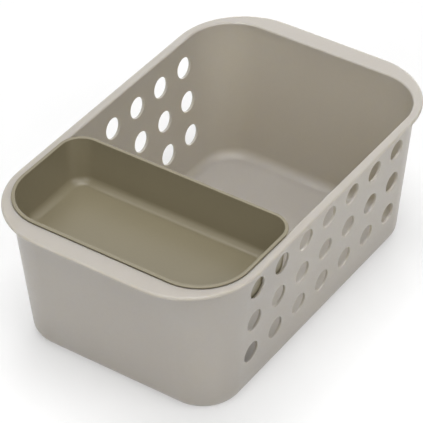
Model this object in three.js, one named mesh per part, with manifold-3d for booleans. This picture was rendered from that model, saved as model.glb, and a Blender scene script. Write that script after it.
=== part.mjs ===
// Bathroom storage basket with a lift-out tray: two plastic mouldings.
// Millimetres, +Z up. X runs across the basket and Y along it, and the tray hangs at the -Y end.
// The origin is the centre of the underside.

import * as THREE from 'three';
import { mergeVertices } from 'three/addons/utils/BufferGeometryUtils.js';
import Module from 'manifold-3d';

const wasm = await Module();
wasm.setup();

// Basket. The opening is measured between the inner faces, carried up to the plane of the rim top.
const basketHeight = 118.5;
const openingWidth = 186.2;
const openingLength = 278;
const openingCornerRadius = 38;
const basketWall = 2;
const basketFloor = 2;
const basketFloorFillet = 8.2;
const draftDegrees = 5.2;

// Rim of the basket: a flat flange, narrow along the sides and wide at the two ends.
const rimSideReach = 6.9;
const rimEndReach = 15.8;
const rimCornerRadius = 56.5;
const rimThickness = 3;
const rimEdgeRound = 1.4;
const rimInnerRound = 1.4;

// Round holes through both long walls.
const holeDiameter = 16.4;
const holePitch = 30;
const holeColumns = 7;
const holeRows = 3;
const holeMiddleRowDrop = 51.9;

// Tray. Its lip hangs on the rounded inner edge of the basket's rim.
const trayLength = 99;
const trayDepth = 36.4;
const trayWall = 1.6;
const trayFloor = 1.8;
const trayFloorFillet = 6.4;
const trayFarCornerRadius = 17;
const trayRimRise = 1.4;
const trayLipReach = 0.8;
const trayRimRound = 0.5;
const trayClearance = 0.3;

// Fineness of the facets, and how far a cutter runs past what it cuts.
const arcDivisions = 6;
const roundDivisions = 3;
const holeSides = 20;
const overcut = 6;

const draft = THREE.MathUtils.degToRad(draftDegrees);
const slope = Math.tan(draft);
const lean = 1 / Math.cos(draft);
const quarterTurn = Math.PI / 2;
const diagonal = Math.SQRT1_2;

// Colours and finishes
const basketMaterial = new THREE.MeshStandardMaterial({ color: 0xb4afa8, roughness: 0.35, metalness: 0 });
const trayMaterial = new THREE.MeshStandardMaterial({ color: 0x857d66, roughness: 0.35, metalness: 0 });

// Rounded rectangle in plan: near is its -Y edge and far its +Y edge, each with its own corner radius.
function plan(halfWidth, near, far, nearRadius, farRadius) {
  const shape = new THREE.Shape();
  shape.absarc(halfWidth - farRadius, far - farRadius, farRadius, 0, quarterTurn);
  shape.absarc(farRadius - halfWidth, far - farRadius, farRadius, quarterTurn, 2 * quarterTurn);
  shape.absarc(nearRadius - halfWidth, near + nearRadius, nearRadius, 2 * quarterTurn, 3 * quarterTurn);
  shape.absarc(halfWidth - nearRadius, near + nearRadius, nearRadius, 3 * quarterTurn, 4 * quarterTurn);
  return { shape, halfWidth, near, far, nearRadius, farRadius };
}

// Outward direction of a plan at a point on its edge.
function outward(outline, x, y) {
  const isFar = y > (outline.near + outline.far) / 2;
  const radius = isFar ? outline.farRadius : outline.nearRadius;
  const coreX = outline.halfWidth - radius;
  const coreY = isFar ? outline.far - radius : outline.near + radius;
  const across = Math.sign(x) * Math.max(Math.abs(x) - coreX, 0);
  const along = isFar ? Math.max(y - coreY, 0) : Math.min(y - coreY, 0);
  return new THREE.Vector2(across, along).normalize();
}

// A closed triangle mesh as a solid that can be joined and cut.
function toSolid(geometry) {
  const bare = geometry.clone();
  bare.deleteAttribute('normal');
  bare.deleteAttribute('uv');
  const merged = mergeVertices(bare);
  return new wasm.Manifold(new wasm.Mesh({
    numProp: 3,
    vertProperties: new Float32Array(merged.getAttribute('position').array),
    triVerts: new Uint32Array(merged.getIndex().array),
  }));
}

// Solid whose plan grows and shrinks with height: each profile point is an offset (x) at a height (y).
function loft(outline, profile) {
  const layers = profile.length - 1;
  const options = { depth: layers, steps: layers, bevelEnabled: false, curveSegments: arcDivisions };
  const geometry = new THREE.ExtrudeGeometry(outline.shape, options);
  const position = geometry.getAttribute('position');
  for (let i = 0; i < position.count; i += 1) {
    const x = position.getX(i);
    const y = position.getY(i);
    const level = profile[Math.round(position.getZ(i))];
    const direction = outward(outline, x, y);
    position.setXYZ(i, x + level.x * direction.x, y + level.x * direction.y, level.y);
  }
  return toSolid(geometry);
}

// Offset of a drafted face that stands at a given offset in the plane of the basket's rim top.
function faceOffset(offsetAtRim, height) {
  return offsetAtRim - slope * (basketHeight - height);
}

// Starts a profile with the fillet between a flat floor and the drafted face above it.
function floorFillet(path, offsetAtRim, floorHeight, radius) {
  const centreHeight = floorHeight + radius;
  const centreOffset = faceOffset(offsetAtRim, centreHeight) - radius * lean;
  path.absarc(centreOffset, centreHeight, radius, -quarterTurn, -draft);
}

// A named mesh of a finished solid.
function toMesh(name, solid, material) {
  const { vertProperties, triVerts } = solid.getMesh();
  const geometry = new THREE.BufferGeometry();
  geometry.setAttribute('position', new THREE.BufferAttribute(vertProperties, 3));
  geometry.setIndex(new THREE.BufferAttribute(triVerts, 1));
  geometry.computeVertexNormals();
  const mesh = new THREE.Mesh(geometry, material);
  mesh.name = name;
  return mesh;
}

// Plan of the basket's opening, and the centre of the rounding along its inner edge.
const openingHalfWidth = openingWidth / 2;
const openingHalfLength = openingLength / 2;
const opening = plan(
  openingHalfWidth,
  -openingHalfLength,
  openingHalfLength,
  openingCornerRadius,
  openingCornerRadius,
);
const rimRoundHeight = basketHeight - rimInnerRound;
const rimRoundOffset = faceOffset(0, rimRoundHeight) + rimInnerRound * lean;

// Outer shape of the tub, up to the middle of the rim.
function basketBody() {
  const path = new THREE.Path();
  const rimMiddle = basketHeight - rimThickness / 2;
  floorFillet(path, basketWall, 0, basketFloorFillet + basketWall);
  path.lineTo(faceOffset(basketWall, rimMiddle), rimMiddle);
  return loft(opening, path.getPoints(roundDivisions));
}

// Flange with its outer edge rounded over.
function basketRim() {
  const halfWidth = openingHalfWidth + rimSideReach;
  const halfLength = openingHalfLength + rimEndReach;
  const outline = plan(halfWidth, -halfLength, halfLength, rimCornerRadius, rimCornerRadius);
  const underside = basketHeight - rimThickness;
  const path = new THREE.Path();
  path.absarc(-rimEdgeRound, underside + rimEdgeRound, rimEdgeRound, -quarterTurn, 0);
  path.absarc(-rimEdgeRound, basketHeight - rimEdgeRound, rimEdgeRound, 0, quarterTurn);
  return loft(outline, path.getPoints(roundDivisions));
}

// Inside of the tub, flaring out over the rounded inner edge of the rim.
function basketCavity() {
  const path = new THREE.Path();
  floorFillet(path, 0, basketFloor, basketFloorFillet);
  path.absarc(rimRoundOffset, rimRoundHeight, rimInnerRound, 2 * quarterTurn - draft, quarterTurn, true);
  path.lineTo(rimRoundOffset, basketHeight + overcut);
  return loft(opening, path.getPoints(roundDivisions));
}

// One cutter for each pair of facing holes in the long walls.
function basketHoles() {
  const radius = holeDiameter / 2;
  const length = openingWidth + 2 * (basketWall + overcut);
  const cutter = new THREE.CylinderGeometry(radius, radius, length, holeSides);
  cutter.rotateZ(quarterTurn);
  const holes = [];
  for (let row = 0; row < holeRows; row += 1) {
    for (let column = 0; column < holeColumns; column += 1) {
      const y = (column - (holeColumns - 1) / 2) * holePitch;
      const z = basketHeight - holeMiddleRowDrop + (row - (holeRows - 1) / 2) * holePitch;
      holes.push(toSolid(cutter.clone().translate(0, y, z)));
    }
  }
  return holes;
}

function basket() {
  let solid = basketBody().add(basketRim()).subtract(basketCavity());
  for (const hole of basketHoles()) {
    solid = solid.subtract(hole);
  }
  return toMesh('basket', solid, basketMaterial);
}

// Plan of the tray's outer faces in the plane of the basket's rim top.
const trayFaceGap = trayClearance * lean;
const trayNear = -openingHalfLength + trayFaceGap;
const trayLipStep = trayLipReach + trayFaceGap;
const trayPlan = plan(
  openingHalfWidth - trayFaceGap,
  trayNear,
  trayNear + trayLength - 2 * trayLipStep,
  openingCornerRadius - trayFaceGap,
  trayFarCornerRadius,
);
const trayTop = basketHeight + trayRimRise;
const trayFloorTop = trayTop - trayDepth;

// The underside of the lip slants at 45 degrees, a clearance above the rounded edge that carries it.
const seatOffset = rimRoundOffset - (rimInnerRound + trayClearance) * diagonal + trayFaceGap;
const seatHeight = rimRoundHeight + (rimInnerRound + trayClearance) * diagonal;

// Outer shape of the tray, with its lip.
function trayBody() {
  const path = new THREE.Path();
  const seatRise = seatHeight - seatOffset;
  const seatStart = (slope * (seatRise - basketHeight)) / (1 - slope);
  floorFillet(path, 0, trayFloorTop - trayFloor, trayFloorFillet + trayWall);
  path.lineTo(seatStart, seatRise + seatStart);
  path.lineTo(trayLipStep, seatRise + trayLipStep);
  path.absarc(trayLipStep - trayRimRound, trayTop - trayRimRound, trayRimRound, 0, quarterTurn);
  return loft(trayPlan, path.getPoints(roundDivisions));
}

// Inside of the tray, with the inner edge of its rim rounded over.
function trayCavity() {
  const path = new THREE.Path();
  const roundHeight = trayTop - trayRimRound;
  const roundOffset = faceOffset(-trayWall, roundHeight) + trayRimRound * lean;
  floorFillet(path, -trayWall, trayFloorTop, trayFloorFillet);
  path.absarc(roundOffset, roundHeight, trayRimRound, 2 * quarterTurn - draft, quarterTurn, true);
  path.lineTo(roundOffset, trayTop + overcut);
  return loft(trayPlan, path.getPoints(roundDivisions));
}

function tray() {
  return toMesh('tray', trayBody().subtract(trayCavity()), trayMaterial);
}

const storageBasket = new THREE.Group();
storageBasket.add(basket(), tray());

export default storageBasket;
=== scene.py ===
# Bathroom storage basket with a lift-out tray, on a white studio floor.
# Metres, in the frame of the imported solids: X across the basket, Y along it, Z up.

import math

import bpy
from mathutils import Color, Matrix, Vector


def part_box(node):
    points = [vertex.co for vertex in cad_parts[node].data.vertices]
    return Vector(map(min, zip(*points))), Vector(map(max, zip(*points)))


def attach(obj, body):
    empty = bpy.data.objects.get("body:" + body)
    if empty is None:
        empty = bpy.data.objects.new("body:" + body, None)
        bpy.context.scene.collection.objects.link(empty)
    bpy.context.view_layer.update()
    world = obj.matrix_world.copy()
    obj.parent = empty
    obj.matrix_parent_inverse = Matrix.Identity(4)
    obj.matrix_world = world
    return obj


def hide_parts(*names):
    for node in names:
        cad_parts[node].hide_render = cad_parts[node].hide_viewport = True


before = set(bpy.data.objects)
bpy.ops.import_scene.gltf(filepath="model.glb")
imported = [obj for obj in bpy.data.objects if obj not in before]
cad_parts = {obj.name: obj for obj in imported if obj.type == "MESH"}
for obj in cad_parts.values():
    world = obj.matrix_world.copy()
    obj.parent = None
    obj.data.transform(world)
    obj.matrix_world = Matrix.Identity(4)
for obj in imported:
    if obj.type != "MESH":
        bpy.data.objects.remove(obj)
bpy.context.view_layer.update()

MM = 0.001

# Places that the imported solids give
RIM_HALF_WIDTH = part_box("basket")[1].x
RIM_HALF_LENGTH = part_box("basket")[1].y
RIM_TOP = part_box("basket")[1].z
TRAY_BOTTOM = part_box("tray")[0].z
TRAY_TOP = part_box("tray")[1].z
TRAY_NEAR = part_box("tray")[0].y
TRAY_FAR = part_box("tray")[1].y
TRAY_HALF_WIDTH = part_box("tray")[1].x

# Basket: walls that lean out by the draft, carried up to the plane of the rim top
DRAFT = math.radians(5.2)
WALL = 2 * MM
FLOOR = 2 * MM
FLOOR_FILLET = 8.2 * MM
FLOOR_STRIP = 12 * MM
OPENING_CORNER = 38 * MM
RIM_SIDE_REACH = 6.9 * MM
RIM_END_REACH = 15.8 * MM
RIM_CORNER = 56.5 * MM
RIM_THICKNESS = 3 * MM
RIM_EDGE_ROUND = 1.4 * MM
RIM_INNER_ROUND = 1.4 * MM
RIM_ROOT_ROUND = 0.8 * MM

# Round holes through both long walls
HOLE_RADIUS = 8.2 * MM
HOLE_EDGE_ROUND = 0.4 * MM
HOLE_EDGE_TURN = math.radians(80)
HOLE_PITCH = 30 * MM
HOLE_COLUMNS = 7
HOLE_ROWS = 3
HOLE_MIDDLE = RIM_TOP - 51.9 * MM
HOLE_CUT_PAST = 2 * MM

# Tray
TRAY_WALL = 1.6 * MM
TRAY_FLOOR = 1.8 * MM
TRAY_FLOOR_FILLET = 6.4 * MM
TRAY_FLOOR_STRIP = 9 * MM
TRAY_FAR_CORNER = 17 * MM
TRAY_LIP = 0.8 * MM
TRAY_RIM_ROUND = 0.5 * MM
TRAY_LIP_ROUND = 0.2 * MM
TRAY_GAP = 0.3 * MM

# Plastics: the two screen colours that the tone drifts between, roughness, and how far light goes inside
BASKET_COLORS = (179, 174, 167), (176, 170, 162)
BASKET_ROUGHNESS = 0.34
BASKET_DEPTH = 6.5 * MM
TRAY_COLORS = (133, 125, 102), (129, 121, 99)
TRAY_ROUGHNESS = 0.32
TRAY_DEPTH = 0
ROUGHNESS_DRIFT = 0.03
PLASTIC_IOR = 1.49

# Milky plastic: share of the light that goes inside, and how far red, green and blue go against one another
MILKY_SHARE = 0.8
MILKY_REACH = (0.94, 0.9, 0.7)

# Noises in the plastics, in cells to the metre: a slow drift of tone, specks, and the grain of the mould
DRIFT_CELLS = 16
DRIFT_DETAIL = 3
DRIFT_SHARE = 0.7
SPECK_CELLS = 420
SPECK_DETAIL = 2
SPECK_SHARE = 0.3
GRAIN_CELLS = 1500
GRAIN_DETAIL = 1
GRAIN_STRENGTH = 0.25
GRAIN_HEIGHT = 0.03 * MM

# Range that most of a noise lies in
NOISE_LOW = 0.3
NOISE_HIGH = 0.7

# Fineness of the meshes
CORNER_STEPS = 24
ROUND_STEPS = 10
HOLE_SIDES = 56
HOLE_ROUND_STEPS = 4
WELD = 0.004 * MM
FACE_WEIGHT = 100

# Photograph's camera
CAMERA_PLACE = Vector((0.7626, -1.1084, 1.1429))
CAMERA_AZIMUTH = math.radians(34.735)
CAMERA_ELEVATION = math.radians(38.828)
CAMERA_ROLL = math.radians(-0.886)
CAMERA_LENS = 205.49
CAMERA_SIGHT = 20

# Studio floor: how much light it gives back, how white it looks, and how far its shadows are lightened
FLOOR_HALF_WIDTH = 6
FLOOR_BOUNCE = 0.86
FLOOR_WHITE = 1.0
FLOOR_GLOW = 0.36

# Paper of the studio floor
PAPER_ROUGHNESS = 0.9
FIBRE_CELLS = 900
FIBRE_DETAIL = 2
FIBRE_STRENGTH = 0.05
FIBRE_HEIGHT = 0.02 * MM

# Softboxes around the basket: name, direction from +X towards +Y and height in degrees, and watts
SOFTBOX_AIM = Vector((0, 0, 0.05))
SOFTBOX_DISTANCE = 2.2
SOFTBOX_SIZE = 1.2
SOFTBOXES = [
    ("top softbox", 0, 90, 24.5),
    ("corner softbox", 315, 50, 10.8),
    ("back softbox", 135, 62, 6.5),
    ("low back softbox", 113, 14, 17),
    ("front softbox", 270, 26, 13.8),
    ("side softbox", 0, 32, 12.3),
    ("left softbox", 180, 62, 3.6),
]

SLOPE = math.tan(DRAFT)
LEAN = 1 / math.cos(DRAFT)
UP = (0, 0, 1)

# Two inputs and the output of a Mix node, by what it mixes
MIX_SOCKETS = {"VECTOR": (4, 5, 1), "RGBA": (6, 7, 2)}


# Small helpers for node trees

def add(tree, kind, settings=None, **inputs):
    """A new node: settings are its properties, and inputs are values or sockets by input name."""
    node = tree.nodes.new(kind)
    for name, value in (settings or {}).items():
        setattr(node, name, value)
    for name, value in inputs.items():
        feed(tree, node, name.replace("_", " "), value)
    return node


def feed(tree, node, name, value):
    """Gives an input, by name or number, a value or another node's output."""
    socket = node.inputs[name]
    if isinstance(value, bpy.types.NodeSocket):
        tree.links.new(value, socket)
    else:
        socket.default_value = value


def math_node(tree, operation, *values):
    node = tree.nodes.new("ShaderNodeMath")
    node.operation = operation
    for number, value in enumerate(values):
        feed(tree, node, number, value)
    return node.outputs[0]


def vector_node(tree, operation, *values):
    node = tree.nodes.new("ShaderNodeVectorMath")
    node.operation = operation
    for number, value in enumerate(values):
        feed(tree, node, number, value)
    return node.outputs[0]


def scaled(tree, vector, length):
    node = add(tree, "ShaderNodeVectorMath", {"operation": "SCALE"}, Vector=vector, Scale=length)
    return node.outputs[0]


def blend(tree, kind, share, first, second):
    """A mix of two vectors or two colours."""
    first_socket, second_socket, mixed = MIX_SOCKETS[kind]
    node = add(tree, "ShaderNodeMix", {"data_type": kind})
    feed(tree, node, 0, share)
    feed(tree, node, first_socket, first)
    feed(tree, node, second_socket, second)
    return node.outputs[mixed]


def stored(tree, name):
    """The number that each point stores under a name."""
    return add(tree, "GeometryNodeInputNamedAttribute", {"data_type": "FLOAT"}, Name=name).outputs[0]


def new_tree(name, inputs):
    """A modifier's tree with named inputs, and its two end nodes."""
    tree = bpy.data.node_groups.new(name, "GeometryNodeTree")
    tree.is_modifier = True
    tree.interface.new_socket("Geometry", in_out="INPUT", socket_type="NodeSocketGeometry")
    tree.interface.new_socket("Geometry", in_out="OUTPUT", socket_type="NodeSocketGeometry")
    for label, kind in inputs.items():
        tree.interface.new_socket(label, in_out="INPUT", socket_type=kind)
    return tree, tree.nodes.new("NodeGroupInput").outputs, tree.nodes.new("NodeGroupOutput")


def end_tree(tree, geometry, material, outlet):
    """Smooth faces, no instances, one material."""
    smooth = add(tree, "GeometryNodeSetShadeSmooth", Geometry=geometry)
    plain = add(tree, "GeometryNodeRealizeInstances", Geometry=smooth.outputs[0])
    painted = add(tree, "GeometryNodeSetMaterial", Geometry=plain.outputs[0], Material=material)
    tree.links.new(painted.outputs[0], outlet.inputs[0])


# Tree that sweeps a rounded section round a rounded plan

def rounded(tree, corners, steps):
    """A polyline as a curve, with each corner rounded to its own stored radius."""
    rounding = stored(tree, "rounding")
    curve = add(tree, "GeometryNodeMeshToCurve", Mesh=corners)
    has_arc = math_node(tree, "GREATER_THAN", rounding, 0.0)
    count = math_node(tree, "MULTIPLY", steps, has_arc)
    fillet = add(tree, "GeometryNodeFilletCurve", {"mode": "POLY"}, Curve=curve.outputs[0], Count=count)
    feed(tree, fillet, "Radius", rounding)
    return fillet.outputs[0]


def point_count(tree, curve):
    size = add(tree, "GeometryNodeAttributeDomainSize", {"component": "CURVE"}, Geometry=curve)
    return size.outputs["Point Count"]


def at_point(tree, curve, value, index):
    """A vector of a curve's point, by number."""
    node = add(tree, "GeometryNodeSampleIndex", {"data_type": "FLOAT_VECTOR"}, Geometry=curve, Index=index)
    feed(tree, node, "Value", value)
    return node.outputs[0]


def flat_fill(tree, plan, section, index):
    """A flat face inside the plan, as far in and as high as one end of the section."""
    tangent = tree.nodes.new("GeometryNodeInputTangent").outputs[0]
    outward = vector_node(tree, "CROSS_PRODUCT", tangent, UP)
    position = tree.nodes.new("GeometryNodeInputPosition").outputs[0]
    end = add(tree, "ShaderNodeSeparateXYZ", Vector=at_point(tree, section, position, index)).outputs
    ring = add(tree, "GeometryNodeSetPosition", Geometry=plan, Offset=scaled(tree, outward, end["X"]))
    filled = add(tree, "GeometryNodeFillCurve", {"mode": "NGONS"}, Curve=ring.outputs[0])
    height = add(tree, "ShaderNodeCombineXYZ", Z=end["Z"])
    placed = add(tree, "GeometryNodeTransform", Geometry=filled.outputs[0], Translation=height.outputs[0])
    return placed.outputs[0]


def sweep_tree():
    """Sweeps a piece's own mesh, x out from the plan and z up. Points past Rim Starts follow Rim Plan."""
    tree, given, outlet = new_tree("moulded shell", {
        "Plan": "NodeSocketObject",
        "Rim Plan": "NodeSocketObject",
        "Rim Starts": "NodeSocketFloat",
        "Corner Steps": "NodeSocketInt",
        "Round Steps": "NodeSocketInt",
        "Weld": "NodeSocketFloat",
        "Material": "NodeSocketMaterial",
    })
    section = rounded(tree, given["Geometry"], given["Round Steps"])
    plan_object = add(tree, "GeometryNodeObjectInfo", Object=given["Plan"])
    rim_object = add(tree, "GeometryNodeObjectInfo", Object=given["Rim Plan"])
    plan = rounded(tree, plan_object.outputs["Geometry"], given["Corner Steps"])
    rim_plan = rounded(tree, rim_object.outputs["Geometry"], given["Corner Steps"])

    across = point_count(tree, section)
    around = point_count(tree, plan)
    columns = math_node(tree, "ADD", around, 1.0)
    grid = add(tree, "GeometryNodeMeshGrid", Vertices_X=columns, Vertices_Y=across)
    index = tree.nodes.new("GeometryNodeInputIndex").outputs[0]
    column = math_node(tree, "FLOOR", math_node(tree, "DIVIDE", index, across))
    plan_point = math_node(tree, "MODULO", column, around)
    section_point = math_node(tree, "MODULO", index, across)

    position = tree.nodes.new("GeometryNodeInputPosition").outputs[0]
    tangent = tree.nodes.new("GeometryNodeInputTangent").outputs[0]
    outward = vector_node(tree, "CROSS_PRODUCT", at_point(tree, plan, tangent, plan_point), UP)
    drawn_point = at_point(tree, section, position, section_point)
    drawn = add(tree, "ShaderNodeSeparateXYZ", Vector=drawn_point).outputs
    is_rim = math_node(tree, "GREATER_THAN", drawn["X"], given["Rim Starts"])
    on_wall = at_point(tree, plan, position, plan_point)
    on_rim = at_point(tree, rim_plan, position, plan_point)
    foot = blend(tree, "VECTOR", is_rim, on_wall, on_rim)
    reach = vector_node(tree, "ADD", foot, scaled(tree, outward, drawn["X"]))
    height = add(tree, "ShaderNodeCombineXYZ", Z=drawn["Z"])
    place = vector_node(tree, "ADD", reach, height.outputs[0])
    swept = add(tree, "GeometryNodeSetPosition", Geometry=grid.outputs[0], Position=place)
    skin = add(tree, "GeometryNodeFlipFaces", Mesh=swept.outputs[0])

    last = math_node(tree, "SUBTRACT", across, 1.0)
    underside = add(tree, "GeometryNodeFlipFaces", Mesh=flat_fill(tree, plan, section, last))
    joined = tree.nodes.new("GeometryNodeJoinGeometry")
    for part in (skin.outputs[0], flat_fill(tree, plan, section, 0), underside.outputs[0]):
        tree.links.new(part, joined.inputs[0])
    shell = add(tree, "GeometryNodeMergeByDistance", Geometry=joined.outputs[0], Distance=given["Weld"])
    end_tree(tree, shell.outputs[0], given["Material"], outlet)
    return tree


# Tree that cuts a grid of round holes through both long walls

def hole_tree():
    """Bore is a line across the wall that stores the hole's radius along it."""
    tree, given, outlet = new_tree("side holes", {
        "Bore": "NodeSocketObject",
        "Pitch": "NodeSocketFloat",
        "Columns": "NodeSocketInt",
        "Rows": "NodeSocketInt",
        "Middle Height": "NodeSocketFloat",
        "Wall Place": "NodeSocketFloat",
        "Wall Slope": "NodeSocketFloat",
        "Sides": "NodeSocketInt",
        "Material": "NodeSocketMaterial",
    })
    bore = add(tree, "GeometryNodeObjectInfo", Object=given["Bore"])
    radius = stored(tree, "radius")
    line = add(tree, "GeometryNodeMeshToCurve", Mesh=bore.outputs["Geometry"])
    circle = add(tree, "GeometryNodeCurvePrimitiveCircle", Resolution=given["Sides"], Radius=1.0)
    cutter = add(tree, "GeometryNodeCurveToMesh", Curve=line.outputs[0], Scale=radius, Fill_Caps=True)
    feed(tree, cutter, "Profile Curve", circle.outputs[0])

    length = math_node(tree, "MULTIPLY", given["Pitch"], math_node(tree, "SUBTRACT", given["Columns"], 1.0))
    rise = math_node(tree, "MULTIPLY", given["Pitch"], math_node(tree, "SUBTRACT", given["Rows"], 1.0))
    grid = add(tree, "GeometryNodeMeshGrid", Size_X=length, Size_Y=rise)
    feed(tree, grid, "Vertices X", given["Columns"])
    feed(tree, grid, "Vertices Y", given["Rows"])
    middle = add(tree, "ShaderNodeCombineXYZ", X=given["Wall Place"], Z=given["Middle Height"])
    upright = add(tree, "GeometryNodeTransform", Geometry=grid.outputs[0], Translation=middle.outputs[0])
    feed(tree, upright, "Rotation", (math.pi / 2, 0, math.pi / 2))
    painted = add(tree, "GeometryNodeSetMaterial", Geometry=cutter.outputs[0], Material=given["Material"])
    cutters = add(tree, "GeometryNodeInstanceOnPoints", Points=upright.outputs[0])
    feed(tree, cutters, "Instance", painted.outputs[0])
    right = add(tree, "GeometryNodeRealizeInstances", Geometry=cutters.outputs[0])

    position = tree.nodes.new("GeometryNodeInputPosition").outputs[0]
    place = add(tree, "ShaderNodeSeparateXYZ", Vector=position).outputs
    above = math_node(tree, "SUBTRACT", place["Z"], given["Middle Height"])
    shift = add(tree, "ShaderNodeCombineXYZ", X=math_node(tree, "MULTIPLY", above, given["Wall Slope"]))
    leaning = add(tree, "GeometryNodeSetPosition", Geometry=right.outputs[0], Offset=shift.outputs[0])
    left = add(tree, "GeometryNodeTransform", Geometry=leaning.outputs[0])
    feed(tree, left, "Rotation", (0, 0, math.pi))
    cut = add(tree, "GeometryNodeMeshBoolean", {"operation": "DIFFERENCE", "solver": "MANIFOLD"})
    tree.links.new(given["Geometry"], cut.inputs["Mesh 1"])
    tree.links.new(leaning.outputs[0], cut.inputs["Mesh 2"])
    tree.links.new(left.outputs[0], cut.inputs["Mesh 2"])
    end_tree(tree, cut.outputs[0], given["Material"], outlet)
    return tree


# Meshes that the trees start from

def polyline(name, points, attribute, closed=False):
    """Points (x, y, z, value) joined in a row, with the values stored on them."""
    mesh = bpy.data.meshes.new(name)
    edges = [(i, i + 1) for i in range(len(points) - 1)]
    if closed:
        edges.append((len(points) - 1, 0))
    mesh.from_pydata([point[:3] for point in points], edges, [])
    values = mesh.attributes.new(attribute, "FLOAT", "POINT")
    values.data.foreach_set("value", [point[3] for point in points])
    thing = bpy.data.objects.new(name, mesh)
    bpy.context.scene.collection.objects.link(thing)
    return thing


def grow(thing, tree, values):
    """Adds a tree to a piece, with its inputs set by name."""
    modifier = thing.modifiers.new(tree.name, "NODES")
    modifier.node_group = tree
    for item in tree.interface.items_tree:
        if item.in_out == "INPUT" and item.name in values:
            modifier[item.identifier] = values[item.name]


def settle(thing):
    """Turns a piece's modifiers into a plain mesh with normals weighted by face area."""
    weighted = thing.modifiers.new("normals", "WEIGHTED_NORMAL")
    weighted.mode = "FACE_AREA"
    weighted.weight = FACE_WEIGHT
    graph = bpy.context.evaluated_depsgraph_get()
    mesh = bpy.data.meshes.new_from_object(thing.evaluated_get(graph))
    mesh.name = thing.name
    if mesh.materials[0] is None:
        mesh.materials.pop(index=0)
    thing.modifiers.clear()
    thing.data = mesh


def discard(*things):
    for thing in things:
        bpy.data.objects.remove(thing)


def face(offset_at_rim, height):
    """How far out a leaning face stands at a height, measured from the opening's plan."""
    return offset_at_rim - SLOPE * (RIM_TOP - height)


# Basket

def basket_plan(name, half_width, half_length, corner):
    """Corners of a plan, with a point on each long side wherever two columns of holes part."""
    parting = [(column - HOLE_COLUMNS / 2) * HOLE_PITCH for column in range(1, HOLE_COLUMNS)]
    points = [(half_width, -half_length, 0, corner)]
    points += [(half_width, y, 0, 0) for y in parting]
    points += [(half_width, half_length, 0, corner), (-half_width, half_length, 0, corner)]
    points += [(-half_width, -y, 0, 0) for y in parting]
    points += [(-half_width, -half_length, 0, corner)]
    return polyline(name, points, "rounding", closed=True)


def basket_section():
    """From the floor inside, up the wall, over the rim, and down the outside to the underside."""
    parting = [HOLE_MIDDLE + (row - HOLE_ROWS / 2) * HOLE_PITCH for row in range(HOLE_ROWS + 1)]
    rim_under = RIM_TOP - RIM_THICKNESS
    points = [(face(0, FLOOR) - FLOOR_STRIP, 0, FLOOR, 0), (face(0, FLOOR), 0, FLOOR, FLOOR_FILLET)]
    points += [(face(0, z), 0, z, 0) for z in parting]
    points += [
        (0, 0, RIM_TOP, RIM_INNER_ROUND),
        (RIM_SIDE_REACH, 0, RIM_TOP, RIM_EDGE_ROUND),
        (RIM_SIDE_REACH, 0, rim_under, RIM_EDGE_ROUND),
        (face(WALL, rim_under), 0, rim_under, RIM_ROOT_ROUND),
    ]
    points += [(face(WALL, z), 0, z, 0) for z in reversed(parting)]
    points += [
        (face(WALL, 0), 0, 0, FLOOR_FILLET + WALL),
        (face(0, FLOOR) - FLOOR_STRIP, 0, 0, 0),
    ]
    return polyline("basket_shell", points, "rounding")


def hole_bore():
    """Radius of a hole through the wall: straight, and rounded over at both faces."""
    points = [(-HOLE_CUT_PAST, 0, 0, HOLE_RADIUS + 2 * HOLE_EDGE_ROUND)]
    for step in range(HOLE_ROUND_STEPS + 1):
        turn = HOLE_EDGE_TURN * (1 - step / HOLE_ROUND_STEPS)
        depth = HOLE_EDGE_ROUND * (1 - math.sin(turn))
        points.append((depth, 0, 0, HOLE_RADIUS + HOLE_EDGE_ROUND * (1 - math.cos(turn))))
    points += [(WALL - x, 0, 0, radius) for x, _, _, radius in reversed(points)]
    return polyline("hole bore", points, "radius")


def make_basket(tree, material):
    opening_half_width = RIM_HALF_WIDTH - RIM_SIDE_REACH
    opening_half_length = RIM_HALF_LENGTH - RIM_END_REACH
    plan = basket_plan("opening plan", opening_half_width, opening_half_length, OPENING_CORNER)
    rim_plan = basket_plan(
        "rim plan",
        opening_half_width,
        RIM_HALF_LENGTH - RIM_SIDE_REACH,
        RIM_CORNER - RIM_SIDE_REACH,
    )
    bore = hole_bore()
    shell = basket_section()
    grow(shell, tree, {
        "Plan": plan,
        "Rim Plan": rim_plan,
        "Rim Starts": (WALL + RIM_SIDE_REACH) / 2,
        "Corner Steps": CORNER_STEPS,
        "Round Steps": ROUND_STEPS,
        "Weld": WELD,
        "Material": material,
    })
    grow(shell, hole_tree(), {
        "Bore": bore,
        "Pitch": HOLE_PITCH,
        "Columns": HOLE_COLUMNS,
        "Rows": HOLE_ROWS,
        "Middle Height": HOLE_MIDDLE,
        "Wall Place": opening_half_width + face(0, HOLE_MIDDLE),
        "Wall Slope": SLOPE,
        "Sides": HOLE_SIDES,
        "Material": material,
    })
    settle(shell)
    discard(plan, rim_plan, bore)
    return shell


# Tray

def tray_plan():
    """Outer faces of the tray: its near corners follow the basket's, and its far corners are tighter."""
    step = TRAY_LIP + TRAY_GAP * LEAN
    half_width = TRAY_HALF_WIDTH - step
    near_corner = OPENING_CORNER - TRAY_GAP * LEAN
    points = [
        (half_width, TRAY_NEAR + step, 0, near_corner),
        (half_width, TRAY_FAR - step, 0, TRAY_FAR_CORNER),
        (-half_width, TRAY_FAR - step, 0, TRAY_FAR_CORNER),
        (-half_width, TRAY_NEAR + step, 0, near_corner),
    ]
    return polyline("tray plan", points, "rounding", closed=True)


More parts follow.
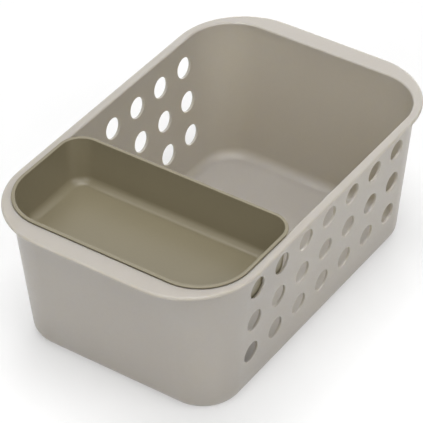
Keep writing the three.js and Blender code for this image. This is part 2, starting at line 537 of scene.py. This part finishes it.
def tray_section():
    """From the floor inside, up the wall, over the rim, under the lip's slanted seat, down the outside."""
    step = TRAY_LIP + TRAY_GAP * LEAN
    seat_reach = (RIM_INNER_ROUND + TRAY_GAP) / math.sqrt(2)
    round_height = RIM_TOP - RIM_INNER_ROUND
    seat_offset = face(0, round_height) + RIM_INNER_ROUND * LEAN - seat_reach + TRAY_GAP * LEAN
    seat_rise = round_height + seat_reach - seat_offset
    seat_start = SLOPE * (seat_rise - RIM_TOP) / (1 - SLOPE)
    floor_top = TRAY_BOTTOM + TRAY_FLOOR
    floor_end = face(-TRAY_WALL, floor_top) - TRAY_FLOOR_STRIP
    points = [
        (floor_end, 0, floor_top, 0),
        (face(-TRAY_WALL, floor_top), 0, floor_top, TRAY_FLOOR_FILLET),
        (face(-TRAY_WALL, TRAY_TOP), 0, TRAY_TOP, TRAY_RIM_ROUND),
        (step, 0, TRAY_TOP, TRAY_RIM_ROUND),
        (step, 0, seat_rise + step, TRAY_LIP_ROUND),
        (seat_start, 0, seat_rise + seat_start, TRAY_LIP_ROUND),
        (face(0, TRAY_BOTTOM), 0, TRAY_BOTTOM, TRAY_FLOOR_FILLET + TRAY_WALL),
        (floor_end, 0, TRAY_BOTTOM, 0),
    ]
    return polyline("tray_shell", points, "rounding")


def make_tray(tree, material):
    plan = tray_plan()
    shell = tray_section()
    grow(shell, tree, {
        "Plan": plan,
        "Rim Plan": plan,
        "Corner Steps": CORNER_STEPS,
        "Round Steps": ROUND_STEPS,
        "Weld": WELD,
        "Material": material,
    })
    settle(shell)
    discard(plan)
    return shell


# Finishes

def screen_color(red, green, blue):
    """A colour given as screen values from 0 to 255, in linear light."""
    screen = Color((red / 255, green / 255, blue / 255))
    return (*screen.from_srgb_to_scene_linear(), 1)


def grey(level):
    return (level, level, level, 1)


def noise(tree, coordinates, scale, detail):
    node = add(tree, "ShaderNodeTexNoise", Vector=coordinates, Scale=scale, Detail=detail)
    return node.outputs["Fac"]


def spread(tree, value, low, high):
    """Maps the middle of a noise to a range."""
    node = add(tree, "ShaderNodeMapRange", Value=value)
    feed(tree, node, "From Min", NOISE_LOW)
    feed(tree, node, "From Max", NOISE_HIGH)
    feed(tree, node, "To Min", low)
    feed(tree, node, "To Max", high)
    return node.outputs["Result"]


def moulded_plastic(name, colors, roughness, depth):
    """Satin moulded plastic: tones that drift slowly, the fine grain of the mould, and a milky depth."""
    material = bpy.data.materials.new(name)
    material.use_nodes = True
    tree = material.node_tree
    shader = tree.nodes["Principled BSDF"]
    place = tree.nodes.new("ShaderNodeTexCoord").outputs["Object"]
    drift = noise(tree, place, DRIFT_CELLS, DRIFT_DETAIL)
    speck = noise(tree, place, SPECK_CELLS, SPECK_DETAIL)
    grain = noise(tree, place, GRAIN_CELLS, GRAIN_DETAIL)
    slow_tone = spread(tree, drift, 0, DRIFT_SHARE)
    fine_tone = spread(tree, speck, 0, SPECK_SHARE)
    tone = math_node(tree, "ADD", slow_tone, fine_tone)
    color, deep_color = [screen_color(*values) for values in colors]
    feed(tree, shader, "Base Color", blend(tree, "RGBA", tone, color, deep_color))
    sheen = spread(tree, speck, roughness - ROUGHNESS_DRIFT, roughness + ROUGHNESS_DRIFT)
    feed(tree, shader, "Roughness", sheen)
    bump = add(tree, "ShaderNodeBump", Strength=GRAIN_STRENGTH, Distance=GRAIN_HEIGHT, Height=grain)
    feed(tree, shader, "Normal", bump.outputs[0])
    feed(tree, shader, "IOR", PLASTIC_IOR)
    feed(tree, shader, "Subsurface Weight", MILKY_SHARE if depth else 0)
    feed(tree, shader, "Subsurface Radius", MILKY_REACH)
    feed(tree, shader, "Subsurface Scale", depth)
    return material


def seen_as_background(tree):
    """1 for a ray from the camera, off something shiny or through something clear, and else 0."""
    path = tree.nodes.new("ShaderNodeLightPath").outputs
    mirrored = math_node(tree, "MAXIMUM", path["Is Glossy Ray"], path["Is Transmission Ray"])
    return math_node(tree, "MAXIMUM", path["Is Camera Ray"], mirrored)


def floor_finish():
    """Matt white paper."""
    material = bpy.data.materials.new("white paper")
    material.use_nodes = True
    tree = material.node_tree
    shader = tree.nodes["Principled BSDF"]
    place = tree.nodes.new("ShaderNodeTexCoord").outputs["Object"]
    fibre = noise(tree, place, FIBRE_CELLS, FIBRE_DETAIL)
    bump = add(tree, "ShaderNodeBump", Strength=FIBRE_STRENGTH, Distance=FIBRE_HEIGHT, Height=fibre)
    feed(tree, shader, "Normal", bump.outputs[0])
    feed(tree, shader, "Roughness", PAPER_ROUGHNESS)
    feed(tree, shader, "Specular IOR Level", 0)
    seen = seen_as_background(tree)
    feed(tree, shader, "Base Color", blend(tree, "RGBA", seen, grey(FLOOR_BOUNCE), grey(FLOOR_WHITE)))
    glow = tree.nodes.new("ShaderNodeEmission")
    look = add(tree, "ShaderNodeMixShader", Fac=math_node(tree, "MULTIPLY", seen, FLOOR_GLOW))
    feed(tree, look, 1, shader.outputs[0])
    feed(tree, look, 2, glow.outputs[0])
    feed(tree, tree.nodes["Material Output"], "Surface", look.outputs[0])
    return material


# Studio

def make_floor():
    mesh = bpy.data.meshes.new("studio_floor")
    half = FLOOR_HALF_WIDTH
    corners = [(-half, -half, 0), (half, -half, 0), (half, half, 0), (-half, half, 0)]
    mesh.from_pydata(corners, [], [(0, 1, 2, 3)])
    mesh.materials.append(floor_finish())
    ground = bpy.data.objects.new("studio_floor", mesh)
    bpy.context.scene.collection.objects.link(ground)


def make_softbox(name, direction, height, power):
    """A square lamp that faces the middle of the object."""
    data = bpy.data.lights.new(name, "AREA")
    data.shape = "SQUARE"
    data.size = SOFTBOX_SIZE
    data.energy = power
    turn = math.radians(direction)
    rise = math.radians(height)
    away = Vector((math.cos(rise) * math.cos(turn), math.cos(rise) * math.sin(turn), math.sin(rise)))
    lamp = bpy.data.objects.new(name, data)
    lamp.location = SOFTBOX_AIM + SOFTBOX_DISTANCE * away
    lamp.rotation_euler = away.to_track_quat("Z", "Y").to_euler()
    bpy.context.scene.collection.objects.link(lamp)


def make_world():
    """A white surround that is only seen: the softboxes give the light."""
    world = bpy.data.worlds.new("studio")
    world.use_nodes = True
    tree = world.node_tree
    surround = tree.nodes["Background"]
    feed(tree, surround, "Color", grey(1))
    feed(tree, surround, "Strength", seen_as_background(tree))
    bpy.context.scene.world = world


def make_camera():
    data = bpy.data.cameras.new("camera")
    data.lens = CAMERA_LENS
    data.clip_end = CAMERA_SIGHT
    camera = bpy.data.objects.new("camera", data)
    turn = Matrix.Rotation(CAMERA_AZIMUTH, 4, "Z")
    tilt = Matrix.Rotation(math.pi / 2 - CAMERA_ELEVATION, 4, "X")
    roll = Matrix.Rotation(CAMERA_ROLL, 4, "Z")
    camera.matrix_world = Matrix.Translation(CAMERA_PLACE) @ turn @ tilt @ roll
    bpy.context.scene.collection.objects.link(camera)
    bpy.context.scene.camera = camera


# Everything in its place

basket_plastic = moulded_plastic("warm grey plastic", BASKET_COLORS, BASKET_ROUGHNESS, BASKET_DEPTH)
tray_plastic = moulded_plastic("olive taupe plastic", TRAY_COLORS, TRAY_ROUGHNESS, TRAY_DEPTH)
shell_tree = sweep_tree()
basket = make_basket(shell_tree, basket_plastic)
tray = make_tray(shell_tree, tray_plastic)
for piece, name in ((basket, "basket"), (tray, "tray")):
    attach(piece, name)
    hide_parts(name)

make_floor()
make_world()
make_camera()
for softbox in SOFTBOXES:
    make_softbox(*softbox)
bpy.context.scene.view_settings.view_transform = "Standard"
